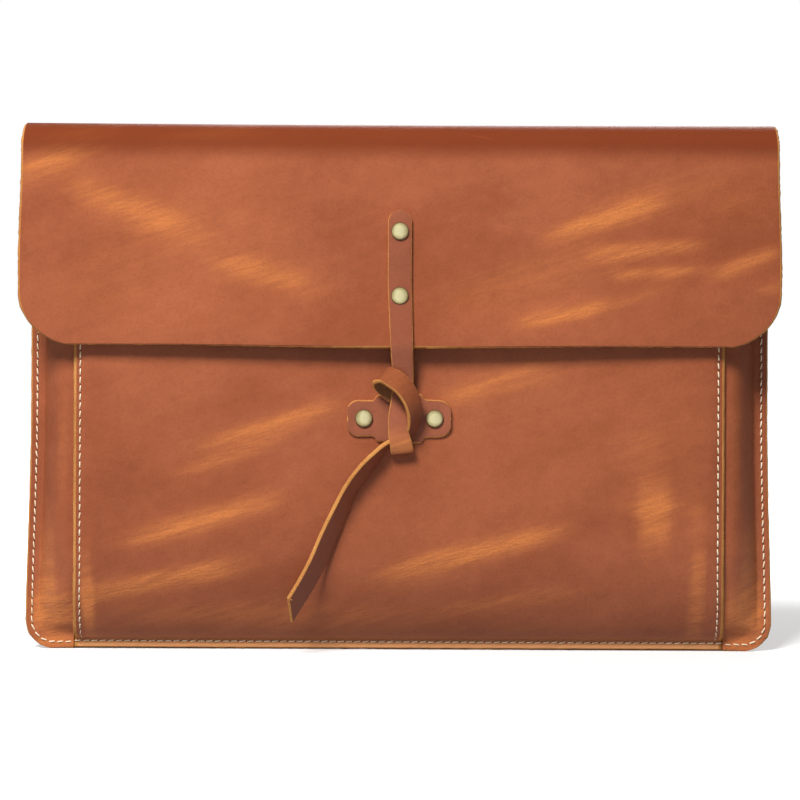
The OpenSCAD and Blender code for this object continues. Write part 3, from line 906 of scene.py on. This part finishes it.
# %% [markdown]
# The loop starts behind the run, folds up and forward over it, and narrows as it tucks in again. The
# tail leaves below it and hangs to the left, turned so that its pale cut edge shows, with a slanting end.
# %% Loop and tail
# The loop's shade is painted shade, deepest at both ends where it tucks under the run.
loop = ribbon("strap_loop", [
    (1.5, 24.9, 112.4, 0, -1, 0, 7.6), (-1.8, 25.0, 115.0, 0, -1, 0.1, 8.0),
    (-5.2, 25.4, 117.8, -0.1, -1, 0.2, 8.4), (-7.9, 26.8, 120.6, -0.5, -0.75, 0.5, 8.8),
    (-8.6, 29.3, 123.2, -0.5, 0, 0.85, 9.2), (-6.4, 31.9, 124.6, 0.1, 0.8, 0.6, 9.4),
    (-2.6, 33.5, 122.8, 0.25, 0.95, 0.3, 9.6), (1.6, 34.3, 119.6, 0.35, 0.9, 0.3, 9.6),
    (5.0, 34.0, 115, 0.5, 0.84, 0.22, 9.4), (7.0, 32.8, 110, 0.6, 0.8, 0.1, 9.0),
    (7.3, 31.0, 105, 0.68, 0.73, 0, 7.8), (6.2, 28.6, 100, 0.68, 0.72, -0.2, 6.0),
    (3.8, 26.4, 96.8, 0.3, 0.9, -0.4, 4.8), (0, 25.6, 95.4, 0, 1, -0.3, 4.6)], 130,
    shade=((0, 0.28, 0.4, 0.75, 1), (1, 0.7, 0.55, 0.6, 0.9)),
    glow=((0, 0.3, 0.45, 0.75, 0.9), (0, 0.3, 0.6, 0.5, 0.2)))
turned = (0.67, 0.67, -0.32)
# The tail's shade is painted shade on its turned face, deepest where it leaves the knot.
tail = ribbon("strap_tail", [
    (2.5, 24.8, 93.4, 0, 1, -0.3, 4.5), (-2.0, 25.2, 93.0, 0.2, 0.7, -0.7, 5.5),
    (-6.2, 27.2, 91.2, 0.45, 0.38, -0.80, 7.6), (-13.9, 28.2, 82.6, 0.61, 0.56, -0.56, 9.6),
    (-20.2, 28.4, 74.2, 0.71, 0.54, -0.45, 10.0), (-24.9, 28.4, 64.7, 0.72, 0.60, -0.35, 10.3),
    (-30.1, 28.4, 53.1, *turned, 10.6), (-35.1, 28.4, 41.3, *turned, 10.8),
    (-40.0, 28.4, 31.8, *turned, 10.8), (-44.2, 28.4, 24.9, *turned, 10.6),
    (-47.3, 28.4, 19.9, *turned, 10.4)], 120,
    shade=((0, 0.1, 0.3, 1), (1, 0.7, 0.35, 0.2)), crown=0.1 * MM, slant=4.6 * MM)
for piece in (loop, tail):
    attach(piece, "strap")
print("loop and tail:", [len(piece.data.polygons) for piece in (loop, tail)], "faces")

# %% [markdown]
# ## Saddle stitching
# The seams are sewn by hand with waxed thread through slanting holes, so each stitch is a short bent
# piece of thread that lies a few degrees off the line of the seam and dips into a dark hole at each end.
# One stitch is modelled as a bent tube and copied by array maths along a line on the leather.
# %% Thread and needle holes
thread = Tree("waxed_thread", Specular_IOR_Level=0.25, Roughness=0.75)
twist = thread.node("ShaderNodeTexWave", {"wave_type": "BANDS", "bands_direction": "DIAGONAL"},
                    sockets={"Vector": thread.spot, "Scale": 900, "Distortion": 1.5})
thread_finish = thread.paint(
    Base_Color=thread.mix(thread.noise(180).over(0.3, 0.7), (0.92, 0.72, 0.48), (1.0, 0.88, 0.68)),
    Normal=thread.bump(twist, 0.0001, 0.4))
# The needle hole's near-black is painted shade: it stands in for the shadow inside each hole.
hole = Tree("needle_hole_painted_shade", Roughness=1.0, Specular_IOR_Level=0.0, Base_Color=(0.09, 0.028, 0.012))
hole_shade_finish = hole.material
pitch, thread_r, stitch_long = 3.7 * MM, 0.32 * MM, 3.3 * MM
print("stitches every %.1f mm, %.1f mm long" % (pitch / MM, stitch_long / MM))

# %% [markdown]
# A real object for every stitch would be slow to make and to draw, so all the tubes of a run are one
# array: runs x rings x sides. Each has few faces, since there are hundreds of them.
# %% Bent tubes
def resample(path, step):
    """Points and directions every step along a polyline. A direction runs 0.3 step each way."""
    run_length = np.concatenate([[0], np.cumsum(np.linalg.norm(np.diff(path, axis=0), axis=1))])
    count = int(run_length[-1] / step)
    at = (np.arange(count) + 0.5) * run_length[-1] / count
    def pick(t):
        return np.stack([np.interp(t, run_length, path[:, k]) for k in range(3)], -1)
    return pick(at), unit(pick(at + 0.3 * step) - pick(at - 0.3 * step))

def tube(centres, directions, ways, half, radius, slant, rings=7, sides=6, lift=0.3 * MM, sink=0.25 * MM):
    """Bent tubes: along = direction turned by slant about the way the leather faces. Their middle line
    has height = (lift + sink) x cosine to the power 0.7, less sink; their ends are drawn in round."""
    t = np.linspace(-1, 1, rings)
    angle = np.arange(sides) * 2 * math.pi / sides
    along = directions * np.cos(slant)[:, None] + unit(np.cross(ways, directions)) * np.sin(slant)[:, None]
    across = np.cross(ways, along)
    height = (lift + sink) * np.cos(t * math.pi / 2) ** 0.7 - sink
    round_end = np.sqrt(np.clip(1 - np.abs(t) ** 8, 0.12, 1))
    middle_line = centres[:, None] + along[:, None] * (t * half)[:, None] + ways[:, None] * height[:, None]
    ring = across[:, None, None] * np.cos(angle)[:, None] + ways[:, None, None] * np.sin(angle)[:, None]
    points = middle_line[:, :, None] + ring * radius * round_end[:, None, None]
    n = len(centres)
    index = np.arange(n * rings * sides).reshape(n, rings, sides)
    turned = np.roll(index, -1, axis=2)
    walls = np.stack([index[:, :-1], turned[:, :-1], turned[:, 1:], index[:, 1:]], -1).reshape(-1, 4)
    return points.reshape(-1, 3), [walls, index[:, 0, ::-1], index[:, -1]]

one_stitch = tube(np.zeros((1, 3)), np.array([[1.0, 0, 0]]), np.array([[0, -1.0, 0]]),
                  stitch_long / 2, thread_r, np.zeros(1))
print("faces in one stitch:", sum(len(block) for block in one_stitch[1]))

# %% [markdown]
# A run is the stitches along a path and the needle holes between them. The holes are short near-black tubes
# pressed nearly flat on the leather, painted shade for the recess of each hole, and the stitches lean by a
# few degrees more or less, as hand work does.
# %% Runs of stitches
def stitch_run(name, path, faces_way, body, slant=8, replaces=None):
    """A run of stitches on a path over the leather's face, with a dark hole, painted shade, between each
    two.
    A hole's points keep 0.3 of their height along faces_way."""
    centres, directions = resample(path, pitch)
    ways = np.broadcast_to(np.array(faces_way, float), centres.shape)
    lean = np.radians(slant + dice.normal(0, 2.5, len(centres)))
    thread_points, thread_faces = tube(centres, directions, ways, stitch_long / 2, thread_r, lean)
    gap = centres[:-1] + np.diff(centres, axis=0) / 2
    hole_lean = np.full(len(gap), math.radians(slant * 2.2))
    hole_points, hole_faces = tube(gap, directions[:-1], ways[:-1], 0.27 * MM, 0.26 * MM, hole_lean,
                                   rings=5, lift=0.02 * MM, sink=0)
    way = ways[0]
    height = (hole_points - np.repeat(gap, len(hole_points) // len(gap), axis=0)) @ way
    hole_points = hole_points - 0.7 * height[:, None] * way
    first = len(thread_points)
    threads = [list(face) for block in thread_faces for face in block]
    holes = [list(face) for block in hole_faces for face in block + first]
    piece = mesh_piece(name + "_stitches", np.concatenate([thread_points, hole_points]), threads + holes,
                       [thread_finish, hole_shade_finish], [0] * len(threads) + [1] * len(holes))
    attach(piece, body)
    if replaces:
        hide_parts(replaces)
    print(piece.name, len(centres), "stitches")

def outline_path(inset, depth, hand, z_top, x_end):
    """Down one side, round the bottom corner and in along the foot, a fixed distance inside the edge."""
    z = np.linspace(z_top, corner_r, 60)
    r = corner_r - inset
    a = np.linspace(0, math.pi / 2, 14)[1:]
    x = np.concatenate([half_plain(z) - inset, half_plain(corner_r) - corner_r + r * np.cos(a), [x_end]])
    z = np.concatenate([z, corner_r - r * np.sin(a), [inset]])
    return place(hand * x, depth, z)

# %% [markdown]
# Five seams show: one down each side through gusset and back hide, one down each edge of the front
# panel, and one along the foot. The side and bottom seams go through to the back, so a run shows there.
# %% Seams
seam_top = fold_z - 2 * MM
for side_name, hand in (("left", -1), ("right", 1)):
    path = outline_path(stitch_in, 2 * hide - 0.1 * MM, hand, seam_top, front_side(0) + 0.6 * MM)
    stitch_run("side_thread_" + side_name, path, (0, -1, 0), "pocket", -9 * hand, "side_thread_" + side_name)
    z = np.linspace(seam_top, front_lo.z + stitch_in + 1 * MM, 160)
    x = front_side(z) - stitch_in - 0.5 * MM
    path = place(hand * x, front_depth(z) - margin_drop(x, z) - 0.2 * MM, z)
    stitch_run("front_thread_" + side_name, path, (0, -1, 0), "front", 5 * hand, "front_thread_" + side_name)
x = np.linspace(-front_side(0), front_side(0), 90)
foot = place(x, front_depth(3.6 * MM) - 0.16 * MM, front_lo.z + stitch_in)
stitch_run("bottom_thread", foot, (0, -1, 0), "front", 8, "bottom_thread")
left, right = (outline_path(stitch_in, -0.02 * MM, hand, fold_z - 9 * MM, 0.0) for hand in (-1, 1))
stitch_run("back_thread", np.concatenate([left, right[::-1][1:]]), (0, 1, 0), "pocket", 8)
print("back seam: two sides and the foot in one run")

# %% [markdown]
# ## Rivets
# Each cap is a pressed dome with a rolled rim. The brass is an antique finish whose tone drifts
# between brown and pale by clouds, and a painted highlight makes the middle of the dome pale, browning
# towards the rim; the cap's mesh carries a `middle` value for it. The rim is a darker mix of the same
# recipe: painted shade.
# %% Brass
def antique_brass(name, pale, brown, rough):
    """Worn brass. Colour = brown to pale by clouds plus the middle value, which paints a highlight."""
    t = Tree(name, Metallic=0.5)
    cloud, rubbed = t.noise(260, 3), t.noise(1500, 2)
    tone_and_highlight = (cloud * 0.9 + t.attribute("middle") * 0.75 - 0.4).over(0.05, 0.65)
    return t.paint(Base_Color=t.mix(tone_and_highlight, brown, pale), Roughness=rough + rubbed * 0.15,
                   Normal=t.bump(rubbed, 0.00005, 0.3))

brass_finish = antique_brass("brass_dome", (0.98, 0.89, 0.50), (0.60, 0.49, 0.21), 0.36)
# The rim's brass is the same recipe made darker: painted shade in the groove round the dome.
shaded_rim_finish = antique_brass("brass_rim_painted_shade", (0.40, 0.33, 0.18), (0.22, 0.17, 0.09), 0.40)
print("brass:", brass_finish.name, shaded_rim_finish.name)

# %% [markdown]
# A cap is turned from one profile about its own axis, as a lathe would: a list of radii and heights,
# times a circle of angles. The packed model gives its place and its width, and it sits on the strap or
# the keeper. The base discs are out of sight behind the leather, so they keep their plain mesh.
# %% Profile of a cap
def cap_profile(r, tall):
    """Radii, heights and dome rings. Dome height = tall x (1 - t squared / 2) out to 0.9 of the radius;
    the rolled rim is part of an ellipse; the last ring meets the leather."""
    t = np.linspace(0, 1, 14)[1:]
    roll = np.linspace(0, math.pi * 0.7, 9)
    radii = np.concatenate([0.9 * r * t, 0.9 * r + 0.1 * r * np.sin(roll), [0.97 * r]])
    heights = np.concatenate([tall * (1 - 0.5 * t ** 2), tall * (0.25 + 0.24 * np.cos(roll)), [0.0]])
    return radii, heights, len(t)

print("rings in a cap's profile:", len(cap_profile(1, 1)[0]))

# %% [markdown]
# The profile is carried round the axis in even steps. The first ring closes onto one middle point and the
# last is closed by one face against the leather, so the cap is a closed solid.
# %% Rivet caps
around = 48

def rivet_cap(name, body):
    """Turned cap on the packed cap's axis, standing on the strap's or the keeper's face."""
    low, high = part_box(name)
    mid_x, mid_z, r = (low.x + high.x) / 2, (low.z + high.z) / 2, (high.x - low.x) / 2
    on_strap = body == "flap"
    base = strap_lo.y if on_strap else keeper_lo.y
    tall = base - low.y
    base -= 0.25 * MM + flap_stand(0.0, mid_z) if on_strap else 0.0
    radii, heights, dome_rings = cap_profile(r, tall)
    a = np.arange(around) * 2 * math.pi / around
    x, z = mid_x + radii[:, None] * np.cos(a), mid_z + radii[:, None] * np.sin(a)
    x, y, z = np.broadcast_arrays(x, base - heights[:, None], z)
    points = np.concatenate([[[mid_x, base - tall, mid_z]], np.stack([x, y, z], -1).reshape(-1, 3)])
    index = 1 + np.arange(len(radii) * around).reshape(-1, around)
    turned = np.roll(index, -1, axis=1)
    walls = np.stack([index[:-1], index[1:], turned[1:], turned[:-1]], -1).reshape(-1, 4)
    centre = np.stack([np.zeros(around, int), index[0], turned[0]], -1)
    faces = centre.tolist() + walls.tolist() + [index[-1][::-1].tolist()]
    # Rings past the dome take the darker rim brass, a painted shade.
    slots = (np.arange(len(faces)) >= around * (1 + dome_rings)).astype(int)
    # middle paints a highlight: 1 on the cap's axis, falling to 0 at the dome's edge.
    off_axis = np.hypot(points[:, 0] - mid_x, points[:, 2] - mid_z)
    cap = mesh_piece(name + "_turned", points, faces, [brass_finish, shaded_rim_finish], slots,
                     {"middle": 1 - (off_axis / (0.9 * r)) ** 2})
    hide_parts(name)
    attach(cap, body)
    print(cap.name, "%.1f mm wide" % (2 * r / MM))

for kind, body, ends in (("flap", "flap", ("upper", "lower")), ("keeper", "front", ("left", "right"))):
    for end in ends:
        rivet_cap(kind + "_rivet_cap_" + end, body)
        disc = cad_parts[kind + "_rivet_base_" + end]
        disc.data.materials.clear()
        disc.data.materials.append(brass_finish)

print("sheets declared:", back_hide.name, flap_hide.name, front_hide.name)
